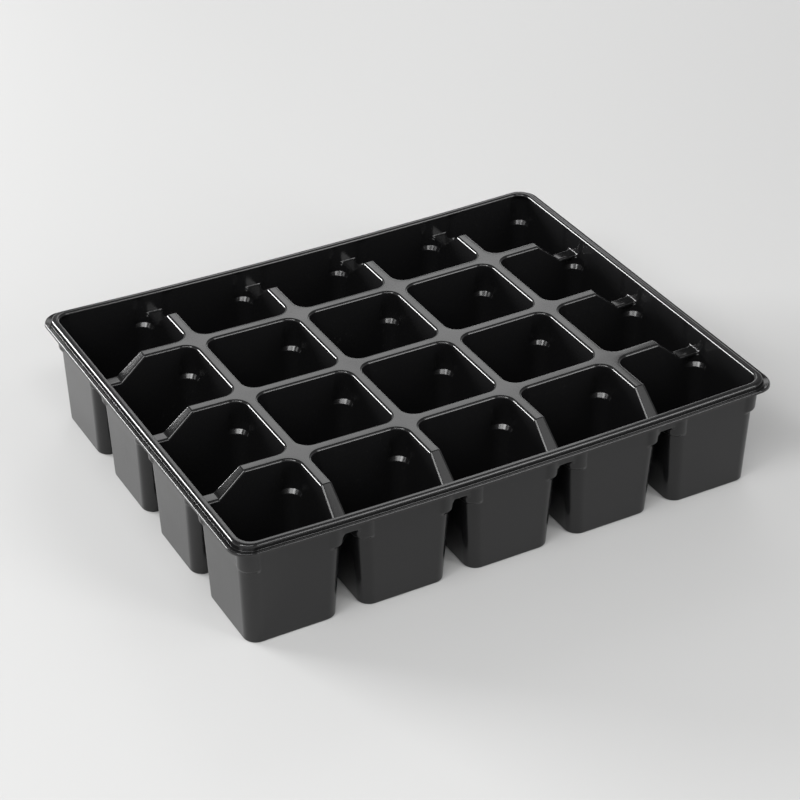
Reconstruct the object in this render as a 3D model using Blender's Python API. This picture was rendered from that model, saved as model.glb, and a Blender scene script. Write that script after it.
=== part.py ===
"""Seed tray: twenty open planting cells under one stepped rim, formed from thin black plastic sheet.

The sheet is divided where such a tray is cut apart: along the middle of every divider top, and at the
foot of the band that the rim turns down into. Metres, +Z up, origin under the middle of the tray.
"""
import math

import bmesh
import bpy
from mathutils import Vector

# Tray
COLUMNS = 5
ROWS = 4
CELL_PITCH = 0.0775        # between the middles of neighbouring dividers
TRAY_HEIGHT = 0.0807       # from the ground to the rim top and the divider tops
SHEET = 0.0008             # thickness of the formed sheet
JOIN_GAP = 0.0003          # left open between two pieces of the tray
CORNER_STEPS = 3           # facets round a cell corner
RIM_CORNER_STEPS = 6       # facets round a corner of the rim

# Walls, measured on the inner faces of the cells
DIVIDER_TOP = 0.0080       # across a divider, just under its rounded top
DIVIDER_BASE = 0.0179      # across a divider, at the cell floors
OUTER_WALL_SETBACK = 0.0045    # of the outer walls at the rim, inside half a pitch past the last cell centre
OUTER_WALL_TAPER = 0.0027      # how far the outer walls lean in from rim to floor
TOP_CORNER_RADIUS = 0.0095
WAIST_CORNER_RADIUS = 0.0092   # at the foot of the corner lugs
BASE_CORNER_RADIUS = 0.0080
EDGE_ROUND = 0.0018        # rounded edge of the divider tops
FLOOR_ROUND = 0.0015       # rounded edge of the cell floors
DRAIN_RADIUS = 0.0040      # drain hole in each floor, out to its corners

# Corner lugs: bulged quarter rounds that keep nested trays from jamming
LUG_RADIUS = 0.0078
LUG_BULGE = 0.0014         # how far a lug stands proud of the wall
LUG_TOP_DEPTH = 0.0183     # below the rim top
LUG_FOOT_DEPTH = 0.0237
LUG_CHAMFER = 0.0013       # slope under the lug

# Divider ends: each divider dips to a shelf before it meets the outer wall
SHELF_DROP = 0.0158
SHELF_LENGTH = 0.0158
SLOPE_RUN = 0.0180

# Rim, outwards from the inner face of the outer wall
RIM_ROUND = 0.0012
RIM_FLAT = 0.0024
RIM_DROP_LEAN = 0.0003
LEDGE_DEPTH = 0.0031       # of the ledge outside the rim, below the rim top
LEDGE_WIDTH = 0.0037
LIP_ROUND = 0.0010
LIP_DEPTH = 0.0054         # of the lip's lower edge, below the rim top
LIP_FLARE = 0.0014         # how far the lip leans out on its way down

# Black plastic
PLASTIC_COLOUR = (0.012, 0.012, 0.013, 1.0)
PLASTIC_ROUGHNESS = 0.35

# Worked out from the sizes above
HALF_LENGTH = COLUMNS * CELL_PITCH / 2 - OUTER_WALL_SETBACK
HALF_WIDTH = ROWS * CELL_PITCH / 2 - OUTER_WALL_SETBACK
LUG_END_DEPTH = LUG_FOOT_DEPTH + LUG_CHAMFER
FLOOR_DEPTH = TRAY_HEIGHT - SHEET
QUARTER_TURN = math.pi / 2
SIDE_NORMALS = (Vector((1, 0)), Vector((0, 1)), Vector((-1, 0)), Vector((0, -1)))


def clear_scene():
    for item in list(bpy.data.objects):
        bpy.data.objects.remove(item, do_unlink=True)


def make_plastic(name):
    material = bpy.data.materials.new(name)
    material.use_nodes = True
    shader = material.node_tree.nodes["Principled BSDF"]
    shader.inputs["Base Color"].default_value = PLASTIC_COLOUR
    shader.inputs["Roughness"].default_value = PLASTIC_ROUGHNESS
    shader.inputs["Metallic"].default_value = 0.0
    return material


def between(low, high, share):
    return low + (high - low) * share


def divider_half(depth):
    """Half the width across a divider, on the inner faces, at a depth below the rim top."""
    share = (depth - EDGE_ROUND) / (FLOOR_DEPTH - EDGE_ROUND)
    return between(DIVIDER_TOP, DIVIDER_BASE, share) / 2


def outer_setback(depth):
    """How far the outer wall's inner face lies inside the outermost pitch line."""
    return OUTER_WALL_SETBACK + OUTER_WALL_TAPER * depth / FLOOR_DEPTH


def corner_arc(centre, setback, radius, corner, steps):
    """Points round one corner. A radius above the setback bulges past both walls."""
    swell = math.acos(min(setback / radius, 1))
    first = corner * QUARTER_TURN - swell
    sweep = QUARTER_TURN + 2 * swell
    angles = [first + sweep * step / steps for step in range(steps + 1)]
    return [centre + Vector((math.cos(a), math.sin(a))) * radius for a in angles]


class Cell:
    """One planting cell, with its four walls and the sides where it meets the outside."""

    def __init__(self, row, column):
        self.centre = Vector(((column - (COLUMNS - 1) / 2) * CELL_PITCH, (row - (ROWS - 1) / 2) * CELL_PITCH))
        self.is_outer = (column == COLUMNS - 1, row == ROWS - 1, column == 0, row == 0)

    def inset(self, side, depth):
        return outer_setback(depth) if self.is_outer[side] else divider_half(depth)

    def bends(self, side):
        """Where a divider top bends on its way to an outer wall, with how far it has dropped there."""
        if self.is_outer[side]:
            return []
        bends = ((SHELF_LENGTH, SHELF_DROP), (SHELF_LENGTH + SLOPE_RUN, 0))
        places = []
        for end, order in (((side - 1) % 4, bends), ((side + 1) % 4, bends[::-1])):
            if not self.is_outer[end]:
                continue
            normal = SIDE_NORMALS[end]
            wall = (HALF_LENGTH if normal.x else HALF_WIDTH) - self.centre.dot(normal)
            places += [(normal * (wall - spot), drop) for spot, drop in order]
        return places

    def ring(self, inset_at, setback, radius, offset, outer_offset, height_at):
        """Outline of the cell; inset_at and height_at are told how far the divider top has dropped there.

        offset moves the outline out from the inner faces, outer_offset at corners on an outer wall.
        """
        outline = []
        for corner in range(4):
            sides = (corner, (corner + 1) % 4)
            by_outer_wall = any(self.is_outer[s] for s in sides)
            drop = SHELF_DROP if by_outer_wall else 0
            shift = outer_offset if by_outer_wall else offset
            walls = [SIDE_NORMALS[s] * (CELL_PITCH / 2 - inset_at(s, drop) - setback) for s in sides]
            centre = self.centre + walls[0] + walls[1]
            arc = corner_arc(centre, setback + shift, radius + shift, corner, CORNER_STEPS)
            outline += [Vector((p.x, p.y, height_at(drop))) for p in arc]
            side = sides[1]
            for along, bend_drop in self.bends(side):
                across = SIDE_NORMALS[side] * (CELL_PITCH / 2 - inset_at(side, bend_drop) + offset)
                spot = self.centre + along + across
                outline.append(Vector((spot.x, spot.y, height_at(bend_drop))))
        return outline

    def level_ring(self, depth, setback, radius, offset):
        return self.ring(
            lambda side, drop: self.inset(side, depth), setback, radius, offset, offset,
            lambda drop: TRAY_HEIGHT - depth,
        )

    def top_ring(self, offset, outer_offset, lowered):
        """Outline along the rounded edge of the divider tops, which it follows down to the shelves."""
        radius = TOP_CORNER_RADIUS
        return self.ring(
            lambda side, drop: self.inset(side, drop + EDGE_ROUND), radius, radius, offset, outer_offset,
            lambda drop: TRAY_HEIGHT - drop - lowered,
        )

    def flange_inset(self, side, drop):
        return self.inset(side, drop + EDGE_ROUND) - SHEET if self.is_outer[side] else JOIN_GAP / 2

    def flange_ring(self, lowered):
        """Edge of the cell's share of the divider tops, half a gap short of the pitch lines."""
        return self.ring(
            self.flange_inset, JOIN_GAP, JOIN_GAP, 0, 0,
            lambda drop: TRAY_HEIGHT - drop - lowered,
        )

    def floor_ring(self, height):
        radius = BASE_CORNER_RADIUS - FLOOR_ROUND
        return self.ring(
            lambda side, drop: self.inset(side, FLOOR_DEPTH) + FLOOR_ROUND, radius, radius, 0, 0,
            lambda drop: height,
        )

    def drain_ring(self, floor, height):
        """Hole in the floor. Its points face those of the floor's edge, so it is square with cut corners."""
        ring = []
        for point in floor:
            arm = (point.xy - self.centre).normalized() * DRAIN_RADIUS
            ring.append(Vector((self.centre.x + arm.x, self.centre.y + arm.y, height)))
        return ring

    def wall_rings(self, offset):
        """The wall's outlines from the floor's edge up to the head of the corner lugs."""
        lug = (LUG_RADIUS - LUG_BULGE, LUG_RADIUS, offset)
        return [
            self.level_ring(FLOOR_DEPTH - FLOOR_ROUND, BASE_CORNER_RADIUS, BASE_CORNER_RADIUS, offset),
            self.level_ring(LUG_END_DEPTH, WAIST_CORNER_RADIUS, WAIST_CORNER_RADIUS, offset),
            self.level_ring(LUG_FOOT_DEPTH, *lug),
            self.level_ring(LUG_TOP_DEPTH, *lug),
        ]

    def rings(self):
        """Outlines over the whole skin: up the outside, over the divider top and down the inside."""
        under_floor = self.floor_ring(0)
        floor = self.floor_ring(SHEET)
        outside = [self.drain_ring(under_floor, 0), under_floor] + self.wall_rings(SHEET)
        top = [
            self.top_ring(SHEET, SHEET, EDGE_ROUND),
            self.flange_ring(SHEET),
            self.flange_ring(0),
            self.top_ring(EDGE_ROUND, 0, 0),
            self.top_ring(0, 0, EDGE_ROUND),
        ]
        inside = self.wall_rings(0)[::-1] + [floor, self.drain_ring(floor, SHEET)]
        return outside + top + inside


def rim_profile():
    """Section of the rim: out from the wall's inner face, and down from the rim top."""
    band = SHELF_DROP - JOIN_GAP
    lean = OUTER_WALL_TAPER * band / FLOOR_DEPTH
    crest = RIM_ROUND + RIM_FLAT
    brow = crest + RIM_ROUND
    ledge = brow + RIM_DROP_LEAN
    lip = ledge + LEDGE_WIDTH
    hem = lip + LIP_FLARE
    upper = [
        (-lean, band), (0, RIM_ROUND), (RIM_ROUND, 0), (crest, 0), (brow, RIM_ROUND),
        (ledge, LEDGE_DEPTH), (lip - LIP_ROUND, LEDGE_DEPTH), (lip, LEDGE_DEPTH + LIP_ROUND),
        (hem, LIP_DEPTH),
    ]
    lower = [
        (hem - SHEET, LIP_DEPTH), (lip - SHEET, LEDGE_DEPTH + LIP_ROUND),
        (lip - LIP_ROUND, LEDGE_DEPTH + SHEET),
        (ledge - SHEET, LEDGE_DEPTH + SHEET), (brow - SHEET, RIM_ROUND), (crest, SHEET),
        (RIM_ROUND, SHEET), (SHEET, RIM_ROUND), (SHEET - lean, band),
    ]
    return upper + lower


def rim_rings():
    rings = []
    for out, depth in rim_profile():
        ring = []
        for corner in range(4):
            first, second = SIDE_NORMALS[corner], SIDE_NORMALS[(corner + 1) % 4]
            signs = first + second
            centre = Vector((
                signs.x * (HALF_LENGTH - TOP_CORNER_RADIUS),
                signs.y * (HALF_WIDTH - TOP_CORNER_RADIUS),
            ))
            radius = TOP_CORNER_RADIUS + out
            ring += corner_arc(centre, radius, radius, corner, RIM_CORNER_STEPS)
        rings.append([Vector((p.x, p.y, TRAY_HEIGHT - depth)) for p in ring])
    return rings


def loft(name, rings, material, collection):
    """Closed skin through a run of outlines with equal point counts; the last joins the first."""
    shape = bmesh.new()
    loops = [[shape.verts.new(point) for point in ring] for ring in rings]
    for index, loop in enumerate(loops):
        following = loops[(index + 1) % len(loops)]
        for spot in range(len(loop)):
            beside = (spot + 1) % len(loop)
            shape.faces.new((loop[spot], loop[beside], following[beside], following[spot]))
    bmesh.ops.recalc_face_normals(shape, faces=shape.faces)
    mesh = bpy.data.meshes.new(name)
    shape.to_mesh(mesh)
    shape.free()
    mesh.materials.append(material)
    part = bpy.data.objects.new(name, mesh)
    collection.objects.link(part)
    return part


def build_tray():
    clear_scene()
    collection = bpy.data.collections.new("seed_tray")
    bpy.context.scene.collection.children.link(collection)
    cell_plastic = make_plastic("cell_plastic")
    for row in range(ROWS):
        for column in range(COLUMNS):
            name = f"cell_row{row + 1}_column{column + 1}"
            loft(name, Cell(row, column).rings(), cell_plastic, collection)
    loft("rim", rim_rings(), make_plastic("rim_plastic"), collection)


build_tray()
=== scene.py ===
import math

import bmesh
import bpy
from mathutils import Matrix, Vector


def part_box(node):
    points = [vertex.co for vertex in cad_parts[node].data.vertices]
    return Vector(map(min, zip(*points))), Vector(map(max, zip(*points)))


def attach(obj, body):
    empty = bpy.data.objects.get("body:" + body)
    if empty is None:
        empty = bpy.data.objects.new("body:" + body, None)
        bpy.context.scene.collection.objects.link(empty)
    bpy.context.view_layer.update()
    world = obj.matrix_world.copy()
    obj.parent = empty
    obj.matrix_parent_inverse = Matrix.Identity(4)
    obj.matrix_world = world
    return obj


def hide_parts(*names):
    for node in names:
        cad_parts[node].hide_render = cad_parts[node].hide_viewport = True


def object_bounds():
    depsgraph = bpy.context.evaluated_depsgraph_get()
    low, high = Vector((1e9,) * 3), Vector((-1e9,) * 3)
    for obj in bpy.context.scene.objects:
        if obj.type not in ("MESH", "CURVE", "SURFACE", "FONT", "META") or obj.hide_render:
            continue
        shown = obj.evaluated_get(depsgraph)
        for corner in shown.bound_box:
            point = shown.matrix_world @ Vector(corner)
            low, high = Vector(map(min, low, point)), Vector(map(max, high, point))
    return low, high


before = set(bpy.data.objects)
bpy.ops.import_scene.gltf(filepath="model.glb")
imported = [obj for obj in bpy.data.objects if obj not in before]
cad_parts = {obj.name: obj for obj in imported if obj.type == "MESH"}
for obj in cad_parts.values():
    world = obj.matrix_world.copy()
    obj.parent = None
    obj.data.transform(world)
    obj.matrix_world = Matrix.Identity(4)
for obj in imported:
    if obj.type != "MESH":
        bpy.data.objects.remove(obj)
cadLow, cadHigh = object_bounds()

scene = bpy.context.scene


# camera: the photograph's place, in metres from the middle of the tray's footprint
cameraView = {
    "place": (-0.6321, -1.1476, 0.8882),
    "turn": -28.850,          # degrees round the tray from straight in front
    "height": 32.999,         # degrees above the floor
    "lens": 102.36,
    "sensor": 36.0,
}


def makeCamera():
    turn = math.radians(cameraView["turn"])
    height = math.radians(cameraView["height"])
    level = math.cos(height)
    towards = Vector((-math.sin(turn) * level, math.cos(turn) * level, -math.sin(height)))
    data = bpy.data.cameras.new("photoCamera")
    data.lens = cameraView["lens"]
    data.sensor_width = cameraView["sensor"]
    camera = bpy.data.objects.new("photoCamera", data)
    camera.location = cameraView["place"]
    camera.rotation_euler = towards.to_track_quat("-Z", "Y").to_euler()
    scene.collection.objects.link(camera)
    scene.camera = camera
    print("camera: set at the photograph's angle")


makeCamera()


# sizes of the tray that the frame gives
cellNodes = [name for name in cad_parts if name.startswith("cell_")]
columnCount = max(int(name.split("column")[1]) for name in cellNodes)
rowCount = len(cellNodes) // columnCount


def nodeMiddle(name):
    low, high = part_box(name)
    return (low + high) / 2


cellPitch = (nodeMiddle("cell_row2_column3") - nodeMiddle("cell_row2_column2")).x
halfPitch = cellPitch / 2
trayTop = cadHigh.z


# rim: measured outwards from the inner face of the wall, and down from the rim top
rimShape = {
    "round": 0.0017,          # both edges of the rim top
    "flat": 0.0014,
    "dropLean": 0.0003,
    "footDepth": 0.0042,      # the ledge rises a little from here to the lip
    "ledgeDepth": 0.0031,
    "ledgeWidth": 0.0037,
    "ledgeFillet": 0.0005,
    "lipRound": 0.0006,
    "lipDepth": 0.0048,
    "lipFlare": 0.0003,       # the lip leans out on its way down
    "setback": 0.0045,        # of the wall, from the outermost pitch lines
    "cornerRadius": 0.0095,   # inner corners of the rim
    "cornerGrowth": 0.5,      # share of the way out that is added to that radius
    "dropTilt": 5,            # degrees off upright, between the rim top and the ledge
    "ledgeTilt": 10,          # degrees off level
    "lipTilt": 10,            # degrees off upright
    "seamBand": 0.0004,       # height of the plain strip just above the seam with the cells
    "roundSteps": 5,
    "filletSteps": 3,
    "lipSteps": 4,
}
lipOut = 2 * rimShape["round"] + rimShape["flat"] + rimShape["dropLean"] + rimShape["ledgeWidth"]
rimReach = lipOut + rimShape["lipFlare"]
halfLength = columnCount * halfPitch - rimShape["setback"]      # to the inner face of the wall at the rim
halfWidth = rowCount * halfPitch - rimShape["setback"]


# cells: walls are measured on their inner faces, depths from the rim top down
cellShape = {
    "sheet": 0.0008,
    "dividerTop": 0.0080,     # across a divider, under its rounded edges
    "dividerBase": 0.0179,    # at the cell floors
    "outerTaper": 0.0027,
    "topRadius": 0.0095,
    "waistRadius": 0.0092,
    "baseRadius": 0.0080,
    "edgeRound": 0.0018,
    "floorRound": 0.0003,
    "roundSteps": 5,
    "drainRadius": 0.0040,
    "joinShares": (1, 0.96, 0.88, 0.7),    # outlines over a divider top, from the pitch line to the edge
    "wallShares": (0.33, 0.66),            # outlines between the top edge and the lugs
    "floorShare": 0.6,                     # the outline between the floor's edge and the drain hole
}
lugShape = {
    "radius": 0.0078,
    "bulge": 0.0014,
    "topDepth": 0.0183,
    # depths round the foot, with the share of the bulge left there
    "foot": ((0.0222, 1.0), (0.0226, 0.98), (0.0229, 0.92), (0.0251, 0.10), (0.0254, 0.03), (0.0258, 0.0)),
    # the same on the way up the outer wall to the rim
    "fade": ((0.0060, 1), (0.0042, 0.9), (0.0030, 0.5), (0.0021, 0.1)),
}
shelfShape = {
    "drop": 0.0158,           # each divider dips this far before it meets the outer wall
    "length": 0.0158,
    "slopeRun": 0.0180,
    "foldReach": 0.0005,      # each fold is eased over this far on both sides
    "foldShares": (-1, -1 / 3, 1 / 3, 1),
    "wallFillet": 0.0010,
}
floorDepth = trayTop - cellShape["sheet"]
seamDepth = shelfShape["drop"] - shelfShape["wallFillet"]    # cells and rim meet here on the outer wall
lugSetback = lugShape["radius"] - lugShape["bulge"]
lugSwell = math.acos(lugSetback / lugShape["radius"])
quarterTurn = math.pi / 2
sideNormals = [Vector((1, 0)), Vector((0, 1)), Vector((-1, 0)), Vector((0, -1))]

# twelve steps round a corner: five over each wall's bulge, two between them
bulgeSteps = 5
cornerSteps = 2 * bulgeSteps + 2
bandSteps = 3                 # from a lug to the pitch line, where a shelf meets the outer wall
bulgeAngles = [-lugSwell + 2 * lugSwell * step / bulgeSteps for step in range(bulgeSteps + 1)]
cornerAngles = bulgeAngles + [quarterTurn / 2] + [quarterTurn - angle for angle in reversed(bulgeAngles)]
cornerShares = [(angle + lugSwell) / (quarterTurn + 2 * lugSwell) for angle in cornerAngles]

# closeness, in metres and radians
weldGap = 0.00002
sliverLength = 0.000001
nearLength = 0.0001
nearAngle = 0.001


def mix(low, high, share):
    return low + (high - low) * share


# two straight runs joined by a soft bend at zero
def softBend(along, slopeBefore, slopeAfter, reach):
    if along <= -reach:
        return slopeBefore * along
    if along >= reach:
        return slopeAfter * along
    curve = (slopeAfter - slopeBefore) / (4 * reach) * (along * along + reach * reach)
    return (slopeBefore + slopeAfter) / 2 * along + curve


# half the width across a divider at a depth
def dividerInset(depth):
    share = (depth - cellShape["edgeRound"]) / (floorDepth - cellShape["edgeRound"])
    return mix(cellShape["dividerTop"], cellShape["dividerBase"], share) / 2


# how far the outer wall stands inside the outermost pitch line at a depth
def outerInset(depth):
    return rimShape["setback"] + cellShape["outerTaper"] * depth / floorDepth


# the divider tops: level, dipping to a shelf, curving up into the outer wall
def topHeight(point):
    toWall = min(halfLength - abs(point.x), halfWidth - abs(point.y))
    slope = shelfShape["drop"] / shelfShape["slopeRun"]
    foldReach = shelfShape["foldReach"]
    if toWall < shelfShape["length"] + shelfShape["slopeRun"] / 2:
        rise = softBend(toWall - shelfShape["length"], 0, slope, foldReach)
    else:
        crest = shelfShape["length"] + shelfShape["slopeRun"]
        rise = shelfShape["drop"] + softBend(toWall - crest, slope, 0, foldReach)
    fillet = shelfShape["wallFillet"]
    toBand = max(toWall - cellShape["outerTaper"] * seamDepth / floorDepth, 0)
    if toBand < fillet:
        rise += fillet - math.sqrt(fillet ** 2 - (fillet - toBand) ** 2)
    return trayTop - shelfShape["drop"] + rise


# one planting cell, drawn as a run of outlines from the pitch lines down to its drain hole
class Cell:
    def __init__(self, row, column):
        along = (column - (columnCount - 1) / 2) * cellPitch
        across = (row - (rowCount - 1) / 2) * cellPitch
        self.middle = Vector((along, across))
        self.isOuter = (column == columnCount - 1, row == rowCount - 1, column == 0, row == 0)

    def inset(self, side, depth):
        return outerInset(depth) if self.isOuter[side] else dividerInset(depth)

    def place(self, corner, along):
        first, second = sideNormals[corner], sideNormals[(corner + 1) % 4]
        return self.middle + first * along[0] + second * along[1]

    # round corner, or with a radius above the setback one that bulges past both walls
    def plainCorner(self, walls, setback, radius):
        swell = math.acos(min(setback / radius, 1))
        angles = [mix(-swell, quarterTurn + swell, share) for share in cornerShares]
        centre = (walls[0] - setback, walls[1] - setback)
        return [(centre[0] + radius * math.cos(a), centre[1] + radius * math.sin(a)) for a in angles]

    # corner where a shelf meets the outer wall: a bulge on the wall, then a flare into the shelf's edge
    def shelfCorner(self, outerWall, dividerWall, spread):
        lugAlong = halfPitch - dividerInset(lugShape["topDepth"]) - lugSetback
        radius = lugShape["radius"]
        lugMiddle = outerWall - lugSetback
        points = [(lugMiddle + radius * math.cos(a), lugAlong + radius * math.sin(a)) for a in bulgeAngles]
        flareAlong = points[-1][1]
        flare = dividerWall - flareAlong
        flareSteps = cornerSteps - bulgeSteps
        for step in range(1, flareSteps + 1):
            angle = quarterTurn * step / flareSteps
            out = outerWall - flare + flare * math.cos(angle)
            points.append((out, flareAlong + (flare + spread) * math.sin(angle)))
        return points

    # the top outline of one corner, spread out over the divider and lowered by drop
    def edgeCorner(self, corner, spread, drop):
        outer = (self.isOuter[corner], self.isOuter[(corner + 1) % 4])
        outerWall = halfPitch - outerInset(seamDepth + drop)
        if all(outer):
            return self.plainCorner((outerWall, outerWall), lugSetback, lugShape["radius"])
        shelfWall = halfPitch - dividerInset(shelfShape["drop"] + cellShape["edgeRound"])
        if outer[0]:
            return self.shelfCorner(outerWall, shelfWall, spread)
        if outer[1]:
            return [(b, a) for a, b in reversed(self.shelfCorner(outerWall, shelfWall, spread))]
        radius = cellShape["topRadius"]
        centre = halfPitch - dividerInset(cellShape["edgeRound"]) - radius
        angles = [quarterTurn * share for share in cornerShares]
        reach = radius + spread
        return [(centre + reach * math.cos(a), centre + reach * math.sin(a)) for a in angles]

    # the same corner carried out to the pitch lines, where neighbouring cells join
    def pitchCorner(self, corner, edge):
        outer = (self.isOuter[corner], self.isOuter[(corner + 1) % 4])
        if all(outer):
            return edge
        if outer[1]:
            return [(b, a) for a, b in reversed(self.shelfPitch([(b, a) for a, b in reversed(edge)]))]
        if outer[0]:
            return self.shelfPitch(edge)
        half = cornerSteps // 2
        first = [(halfPitch, mix(edge[0][1], halfPitch, step / half)) for step in range(half)]
        second = [(mix(halfPitch, edge[-1][0], step / half), halfPitch) for step in range(half + 1)]
        return first + second

    def shelfPitch(self, edge):
        lineSteps = cornerSteps - bulgeSteps - bandSteps
        wall, start = edge[bulgeSteps]
        band = [(wall, mix(start, halfPitch, step / bandSteps)) for step in range(bandSteps)]
        line = [(mix(wall, edge[-1][0], step / lineSteps), halfPitch) for step in range(lineSteps + 1)]
        return edge[:bulgeSteps] + band + line

    # whether a point of a corner lies on the outer wall
    def onBand(self, corner, index):
        outer = (self.isOuter[corner], self.isOuter[(corner + 1) % 4])
        near = outer[0] and index <= bulgeSteps
        far = outer[1] and index >= cornerSteps - bulgeSteps
        return all(outer) or near or far

    # where a divider's side folds on its way to an outer wall
    def foldPoints(self, side):
        if self.isOuter[side]:
            return []
        reach = shelfShape["foldReach"]
        folds = (shelfShape["length"], shelfShape["length"] + shelfShape["slopeRun"])
        spots = [fold + reach * share for fold in folds for share in shelfShape["foldShares"]]
        points = []
        for end, order in (((side - 1) % 4, spots), ((side + 1) % 4, spots[::-1])):
            if not self.isOuter[end]:
                continue
            normal = sideNormals[end]
            wall = (halfLength if normal.x else halfWidth) - self.middle.dot(normal)
            points += [self.middle + normal * (wall - spot) for spot in order]
        return points

    # an outline at one depth; bulge is the share of the corner lugs that shows there
    def levelRing(self, depth, bulge, radius, draw=0):
        walls = [halfPitch - self.inset(side, depth) - draw for side in range(4)]
        setback = mix(radius, lugSetback, bulge)
        cornerRadius = mix(radius, lugShape["radius"], bulge)
        ring = []
        for corner in range(4):
            side = (corner + 1) % 4
            spots = self.plainCorner((walls[corner], walls[side]), setback, cornerRadius)
            ring += [self.place(corner, spot) for spot in spots]
            ring += [point + sideNormals[side] * walls[side] for point in self.foldPoints(side)]
        return [Vector((p.x, p.y, trayTop - depth)) for p in ring]

    # an outline over the rounded top edge; join takes it from there, at nought, to the pitch lines, at one
    def edgeRing(self, spread, drop, join=0):
        ring = []
        for corner in range(4):
            side = (corner + 1) % 4
            edge = self.edgeCorner(corner, spread, drop)
            outerEdge = self.pitchCorner(corner, edge)
            for index, (inner, outer) in enumerate(zip(edge, outerEdge)):
                spot = (mix(inner[0], outer[0], join), mix(inner[1], outer[1], join))
                point = self.place(corner, spot)
                touchesBand = self.onBand(corner, index)
                height = trayTop - seamDepth if touchesBand else topHeight(point)
                ring.append(Vector((point.x, point.y, height - drop)))
            for point in self.foldPoints(side):
                depth = trayTop - topHeight(point + sideNormals[side] * halfPitch)
                across = halfPitch - dividerInset(depth + cellShape["edgeRound"]) + spread
                point += sideNormals[side] * mix(across, halfPitch, join)
                ring.append(Vector((point.x, point.y, trayTop - depth - drop)))
        return ring

    # each point faces one of the floor's edge, so the hole is square with cut corners
    def drainRing(self, floor, radius):
        ring = []
        for point in floor:
            arm = (point.xy - self.middle).normalized() * radius
            ring.append(Vector((self.middle.x + arm.x, self.middle.y + arm.y, point.z)))
        return ring

    def rings(self):
        edgeRound = cellShape["edgeRound"]
        roundSteps = cellShape["roundSteps"]
        roundAngles = [quarterTurn * step / roundSteps for step in range(roundSteps + 1)]
        rings = [self.edgeRing(edgeRound, 0, join) for join in cellShape["joinShares"]]
        for angle in roundAngles:
            rings.append(self.edgeRing(edgeRound * (1 - math.sin(angle)), edgeRound * (1 - math.cos(angle))))
        lugHead = self.levelRing(lugShape["topDepth"], 1, cellShape["waistRadius"])
        for share in cellShape["wallShares"]:
            rings.append([mix(a, b, share) for a, b in zip(rings[-1], lugHead)])
        rings.append(lugHead)
        for depth, bulge in lugShape["foot"]:
            rings.append(self.levelRing(depth, bulge, cellShape["waistRadius"]))
        floorRound = cellShape["floorRound"]
        for angle in roundAngles:
            draw = floorRound * (1 - math.cos(angle))
            depth = floorDepth - floorRound * (1 - math.sin(angle))
            rings.append(self.levelRing(depth, 0, cellShape["baseRadius"] - draw, draw))
        drain = self.drainRing(rings[-1], cellShape["drainRadius"])
        rings.append([mix(a, b, cellShape["floorShare"]) for a, b in zip(rings[-1], drain)])
        rings.append(drain)
        return rings

    # the run of points where this cell meets the rim along one outer side
    def rimRun(self, side):
        run = []
        for corner in ((side - 1) % 4, side):
            points = self.pitchCorner(corner, self.edgeCorner(corner, cellShape["edgeRound"], 0))
            shared = self.isOuter[corner] and self.isOuter[(corner + 1) % 4]
            wallSteps = cornerSteps // 2 if shared else bulgeSteps + bandSteps
            points = points[:wallSteps + 1] if corner == side else points[cornerSteps - wallSteps:]
            run += [self.place(corner, point) for point in points]
        return run


# a closed outline of points, then extruded from each outline to the next
def skin(shape, rings):
    verts = [shape.verts.new(point) for point in rings[0]]
    edges = [shape.edges.new((verts[index - 1], verts[index])) for index in range(len(verts))]
    for ring in rings[1:]:
        grown = bmesh.ops.extrude_edge_only(shape, edges=edges)["geom"]
        newVerts = {item for item in grown if isinstance(item, bmesh.types.BMVert)}
        followers = {}
        for vert in newVerts:
            for edge in vert.link_edges:
                followers.setdefault(edge.other_vert(vert), vert)
        verts = [followers[vert] for vert in verts]
        for vert, point in zip(verts, ring):
            vert.co = point
        edges = [shape.edges.get((verts[index - 1], verts[index])) for index in range(len(verts))]


def weld(shape):
    bmesh.ops.remove_doubles(shape, verts=shape.verts, dist=weldGap)
    bmesh.ops.dissolve_degenerate(shape, edges=shape.edges, dist=sliverLength)


# arc of a rim section, as points out from the wall and down from the top; nought degrees is out, ninety up
def sectionArc(out, depth, radius, start, end, steps):
    angles = [math.radians(mix(start, end, step / steps)) for step in range(steps + 1)]
    return [(out + radius * math.cos(a), depth - radius * math.sin(a)) for a in angles]


# the rim's section: up the wall, over the top, down to the ledge and over the lip
def rimSection():
    edge = rimShape["round"]
    crest = edge + rimShape["flat"]
    foot = crest + edge + rimShape["dropLean"]
    fillet = rimShape["ledgeFillet"]
    lip = rimShape["lipRound"]
    drop, ledge = rimShape["dropTilt"], rimShape["ledgeTilt"]
    steps = rimShape["roundSteps"]
    section = sectionArc(edge, edge, edge, 180, 90, steps)
    section += sectionArc(crest, edge, edge, 90, drop, steps)
    depth, steps = rimShape["footDepth"] - fillet, rimShape["filletSteps"]
    section += sectionArc(foot + fillet, depth, fillet, 180 + drop, 270 + ledge, steps)
    depth, steps = rimShape["ledgeDepth"] + lip, rimShape["lipSteps"]
    section += sectionArc(lipOut - lip, depth, lip, 90 + ledge, rimShape["lipTilt"], steps)
    section.append((rimReach, rimShape["lipDepth"]))
    return section


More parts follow.
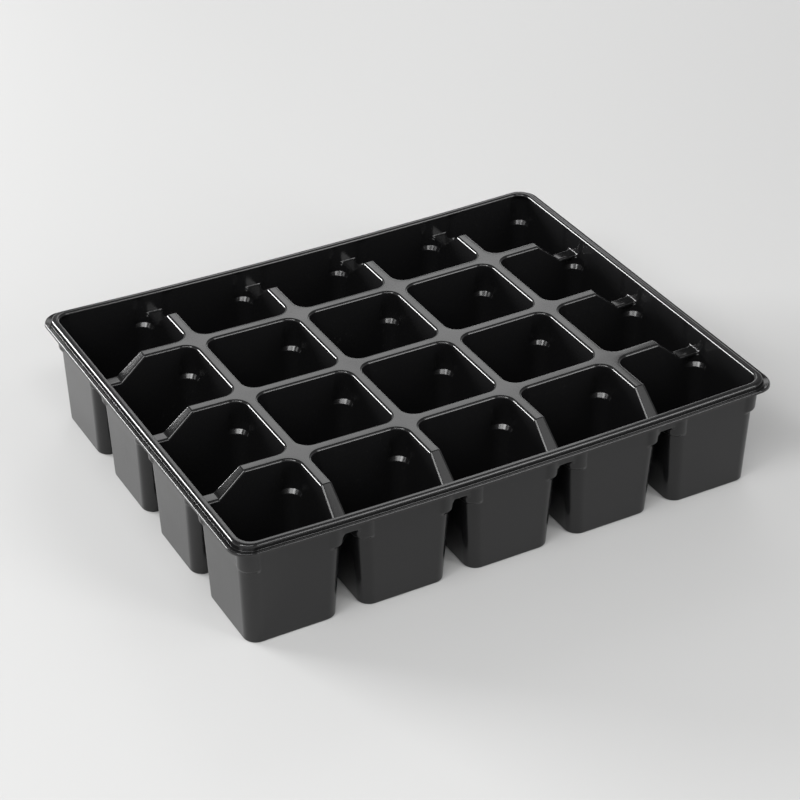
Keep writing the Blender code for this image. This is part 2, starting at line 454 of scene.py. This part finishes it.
# a point of the seam, brought back onto the plain wall, with the way out of it there and along both sides
def plainWall(point):
    setback = cellShape["outerTaper"] * seamDepth / floorDepth
    limit = Vector((halfLength - setback, halfWidth - setback))
    sign = Vector((math.copysign(1, point.x), math.copysign(1, point.y)))
    corner = Vector((limit.x - lugSetback, limit.y - lugSetback))
    arm = Vector((abs(point.x), abs(point.y))) - corner
    angle = math.atan2(arm.y, arm.x)
    inTurn = -lugSwell - nearAngle < angle < quarterTurn + lugSwell + nearAngle
    if inTurn and arm.length < lugShape["radius"] + nearLength:
        turn = quarterTurn * (angle + lugSwell) / (quarterTurn + 2 * lugSwell)
        turn = min(max(turn, 0), quarterTurn)
        out = Vector((math.cos(turn), math.sin(turn)))
        push = Vector((1, 1))
        radius = rimShape["cornerRadius"]
        flat = Vector((limit.x - radius, limit.y - radius)) + out * radius
    elif limit.x - abs(point.x) < limit.y - abs(point.y):
        out = push = Vector((1, 0))
        flat = Vector((limit.x, abs(point.y)))
    else:
        out = push = Vector((0, 1))
        flat = Vector((abs(point.x), limit.y))
    return flat * sign, out * sign, push * sign


# the rim's outlines, from its seam with the cells up the wall and out to the lip
def rimRings(cells):
    run = []
    # right, back, left and front, with the cells of the back and the left taken in falling order
    for side, (axis, isFalling) in enumerate(((1, False), (0, True), (1, True), (0, False))):
        sideCells = [cell for cell in cells if cell.isOuter[side]]
        sideCells.sort(key=lambda cell: cell.middle[axis], reverse=isFalling)
        for cell in sideCells:
            for point in cell.rimRun(side):
                if not run or (point - run[-1]).length > weldGap:
                    run.append(point)
    if (run[0] - run[-1]).length < weldGap:
        run.pop()
    lean = cellShape["outerTaper"] / floorDepth
    # the lugs fade out of the wall on its way up to the rim
    wall = [(seamDepth, 1), (seamDepth - rimShape["seamBand"], 1), *lugShape["fade"]]
    stations = [((seamDepth - depth) * lean, depth, bulge) for depth, bulge in wall]
    stations += [(seamDepth * lean + out, depth, 0) for out, depth in rimSection()]
    rings = []
    for out, depth, bulge in stations:
        ring = []
        for point in run:
            flat, way, push = plainWall(point)
            spot = flat + (point - flat) * bulge + push.lerp(way, rimShape["cornerGrowth"]) * out
            ring.append(Vector((spot.x, spot.y, trayTop - depth)))
        rings.append(ring)
    return rings


# a tray this wide hangs a little between its ends: its long sides bow down, the cell floors stay level
bowShape = {
    "longSides": 0.0030,
    "middle": 0.0028,
}


def bowDown(shape):
    for vert in shape.verts:
        alongLength = max(1 - (vert.co.x / halfLength) ** 2, 0)
        alongWidth = max(1 - (vert.co.y / halfWidth) ** 2, 0)
        bow = mix(bowShape["longSides"], bowShape["middle"], alongWidth)
        vert.co.z -= bow * alongLength * vert.co.z / trayTop


def makeTray():
    cells = [Cell(row, column) for row in range(rowCount) for column in range(columnCount)]
    shape = bmesh.new()
    for cell in cells:
        skin(shape, cell.rings())
    print("tray: cells skinned,", len(shape.faces), "faces")
    skin(shape, rimRings(cells))
    weld(shape)
    bowDown(shape)
    bmesh.ops.recalc_face_normals(shape, faces=shape.faces)
    highest = max(shape.faces, key=lambda face: face.calc_center_median().z)
    if highest.normal.z < 0:
        bmesh.ops.reverse_faces(shape, faces=shape.faces)
    mesh = bpy.data.meshes.new("tray_sheet")
    shape.to_mesh(mesh)
    openEdges = sum(edge.is_boundary for edge in shape.edges)
    oddEdges = sum(not edge.is_manifold and not edge.is_boundary for edge in shape.edges)
    print("tray: rim joined,", len(mesh.polygons), "faces,", openEdges, "open edges,", oddEdges, "odd edges")
    shape.free()
    mesh.shade_smooth()
    tray = bpy.data.objects.new("tray_sheet", mesh)
    scene.collection.objects.link(tray)
    thickness = tray.modifiers.new("sheet", "SOLIDIFY")
    thickness.thickness = cellShape["sheet"]
    thickness.offset = -1
    thickness.use_even_offset = True
    thickness.use_quality_normals = True
    shading = tray.modifiers.new("flatWalls", "WEIGHTED_NORMAL")
    shading.keep_sharp = True
    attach(tray, "root")
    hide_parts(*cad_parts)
    return tray


tray = makeTray()


# one value of a shader; sums, differences and products of values add their Math nodes
class Wire:
    def __init__(self, tree, socket=None):
        self.tree = tree
        self.socket = socket

    # any node: its settings first, then the values or wires of its inputs
    def node(self, kind, settings, inputs, output=0):
        made = self.tree.nodes.new(kind)
        for name, value in settings.items():
            setattr(made, name, value)
        for name, value in inputs.items():
            if isinstance(value, Wire):
                self.tree.links.new(value.socket, made.inputs[name])
            else:
                made.inputs[name].default_value = value
        return Wire(self.tree, made.outputs[output])

    def math(self, operation, first, second):
        return self.node("ShaderNodeMath", {"operation": operation}, {0: first, 1: second})

    def __add__(self, other):
        return self.math("ADD", self, other)

    def __radd__(self, other):
        return self.math("ADD", other, self)

    def __rsub__(self, other):
        return self.math("SUBTRACT", other, self)

    def __mul__(self, other):
        return self.math("MULTIPLY", self, other)

    def __rmul__(self, other):
        return self.math("MULTIPLY", other, self)

    # nought below low, one above high, eased between them
    def rise(self, low, high):
        inputs = {"Value": self, "From Min": low, "From Max": high}
        return self.node("ShaderNodeMapRange", {"interpolation_type": "SMOOTHSTEP"}, inputs)


# black plastic: patterns are given per metre, heights in metres
plasticLook = {
    "colour": (0.0070, 0.0070, 0.0073, 1),
    "scuffColour": (0.040, 0.040, 0.040, 1),
    "ior": 1.48,
    "roughness": 0.11,
    "topFacing": (0.6, 0.95),      # how far up a face looks, from wall to top
    "cloudScale": 24,              # broad clouds from the sheet cooling unevenly
    "cloudDetail": 3.0,
    "cloudRange": (0.3, 0.7),
    "cloudRoughness": 0.07,
    "cloudRelief": 0.25,
    "drawScale": (240, 240, 4),    # fine lines down the walls, where the sheet was drawn
    "drawDetail": 4.0,
    "drawRoughness": 0.06,
    "drawRelief": 0.5,
    "grainScale": 1300,
    "grainDetail": 2.0,
    "grainRoughness": 0.03,
    "grainRelief": 0.04,
    "scuffScale": 520,
    "scuffDetail": 5.0,
    "scuffRange": (0.60, 0.78),
    "scuffClouds": (0.45, 0.65),   # the part of the clouds that scuffs keep to
    "scuffOnWalls": 0.3,           # share of the scuffs on tops
    "scuffRoughness": 0.12,
    "reliefHeight": 0.00010,
}


def makePlastic():
    material = bpy.data.materials.new("blackPlastic")
    material.use_nodes = True
    tree = material.node_tree
    shader = tree.nodes["Principled BSDF"]
    shader.inputs["IOR"].default_value = plasticLook["ior"]
    start = Wire(tree)
    spot = start.node("ShaderNodeTexCoord", {}, {}, "Object")
    normal = start.node("ShaderNodeTexCoord", {}, {}, "Normal")
    facing = start.node("ShaderNodeSeparateXYZ", {}, {"Vector": normal}, "Z")
    onWall = 1 - facing * facing
    onTop = facing.rise(*plasticLook["topFacing"])

    def noise(place, scale, detail):
        inputs = {"Vector": place, "Scale": scale, "Detail": plasticLook[detail]}
        return start.node("ShaderNodeTexNoise", {}, inputs)

    cloud = noise(spot, plasticLook["cloudScale"], "cloudDetail")
    stretch = {0: spot, 1: plasticLook["drawScale"]}
    drawnSpot = start.node("ShaderNodeVectorMath", {"operation": "MULTIPLY"}, stretch)
    drawLines = noise(drawnSpot, 1.0, "drawDetail")
    grain = noise(spot, plasticLook["grainScale"], "grainDetail")
    scuffNoise = noise(spot, plasticLook["scuffScale"], "scuffDetail")
    onWalls = plasticLook["scuffOnWalls"]
    scuffs = scuffNoise.rise(*plasticLook["scuffRange"]) * cloud.rise(*plasticLook["scuffClouds"])
    scuffs = scuffs * (onWalls + (1 - onWalls) * onTop)

    # a Mix node has its colour inputs at 6 and 7 and its colour output at 2
    colours = {0: scuffs, 6: plasticLook["colour"], 7: plasticLook["scuffColour"]}
    colour = start.node("ShaderNodeMix", {"data_type": "RGBA"}, colours, 2)
    clouding = plasticLook["cloudRoughness"] * cloud.rise(*plasticLook["cloudRange"])
    roughness = plasticLook["roughness"] + clouding
    roughness = roughness + plasticLook["drawRoughness"] * onWall * drawLines
    roughness = roughness + plasticLook["grainRoughness"] * grain + plasticLook["scuffRoughness"] * scuffs
    relief = plasticLook["drawRelief"] * drawLines * onWall
    relief = relief + plasticLook["cloudRelief"] * cloud + plasticLook["grainRelief"] * grain
    bump = start.node("ShaderNodeBump", {}, {"Distance": plasticLook["reliefHeight"], "Height": relief})
    tree.links.new(colour.socket, shader.inputs["Base Color"])
    tree.links.new(roughness.socket, shader.inputs["Roughness"])
    tree.links.new(bump.socket, shader.inputs["Normal"])
    print("black plastic:", len(tree.nodes), "nodes")
    return material


tray.data.materials.append(makePlastic())


# studio: a pale floor, soft boxes low and high round the tray, and a sky that dims from the horizon up
studio = {
    "floorSize": 12.0,
    "floorColour": (0.58, 0.58, 0.577, 1),
    "floorRoughness": 0.55,
    "skyColour": (1, 1, 1, 1),
    "horizon": 0.70,
    "zenith": 0.22,
    "zenithHeight": 0.75,     # sine of the height from which the sky is dim
    # name, place, aim, width, height, radiance
    "softBoxes": (
        ("lowBackLeft", (-1.40, 1.67, 0.40), (0, 0, 0.05), 1.12, 0.62, 39.0),
        ("lowBackRight", (1.15, 1.28, 0.30), (0, 0, 0.05), 1.0, 0.40, 1.6),
        ("backRight", (0.77, 1.49, 1.22), (0, 0, 0.08), 0.75, 0.54, 2.2),
        ("frontRight", (1.10, -2.20, 0.93), (0, 0, 0.05), 0.80, 1.30, 7.5),
        ("left", (-1.95, -0.60, 2.19), (0, 0, 0.05), 0.90, 1.10, 12.0),
        ("leftFront", (-1.23, -1.37, 2.36), (0, 0, 0.05), 0.95, 0.70, 8.0),
        ("highFrontRight", (0.81, -0.89, 1.60), (0, 0, 0.08), 0.6, 0.6, 1.6),
        ("front", (-0.35, -1.62, 2.55), (0, 0, 0.05), 0.68, 0.68, 8.0),
    ),
}


def makeFloor():
    shape = bmesh.new()
    bmesh.ops.create_grid(shape, x_segments=1, y_segments=1, size=studio["floorSize"] / 2)
    mesh = bpy.data.meshes.new("studio_floor")
    shape.to_mesh(mesh)
    shape.free()
    floor = bpy.data.objects.new("studio_floor", mesh)
    scene.collection.objects.link(floor)
    paper = bpy.data.materials.new("paleFloor")
    paper.use_nodes = True
    shader = paper.node_tree.nodes["Principled BSDF"]
    shader.inputs["Base Color"].default_value = studio["floorColour"]
    shader.inputs["Roughness"].default_value = studio["floorRoughness"]
    mesh.materials.append(paper)


def makeLights():
    for name, place, aim, width, height, radiance in studio["softBoxes"]:
        data = bpy.data.lights.new(name, "AREA")
        data.shape = "RECTANGLE"
        data.size = width
        data.size_y = height
        data.energy = radiance * math.pi * width * height
        lamp = bpy.data.objects.new(name, data)
        lamp.location = place
        lamp.rotation_euler = (Vector(aim) - Vector(place)).to_track_quat("-Z", "Y").to_euler()
        scene.collection.objects.link(lamp)
    world = bpy.data.worlds.new("sky")
    world.use_nodes = True
    start = Wire(world.node_tree)
    towards = start.node("ShaderNodeTexCoord", {}, {}, "Generated")
    height = start.node("ShaderNodeSeparateXYZ", {}, {"Vector": towards}, "Z")
    dimming = height.rise(0, studio["zenithHeight"])
    strength = studio["horizon"] + (studio["zenith"] - studio["horizon"]) * dimming
    background = world.node_tree.nodes["Background"]
    world.node_tree.links.new(strength.socket, background.inputs["Strength"])
    background.inputs["Color"].default_value = studio["skyColour"]
    scene.world = world
    scene.view_settings.view_transform = "Standard"
    print("studio: floor,", len(studio["softBoxes"]), "soft boxes and sky")


makeFloor()
makeLights()
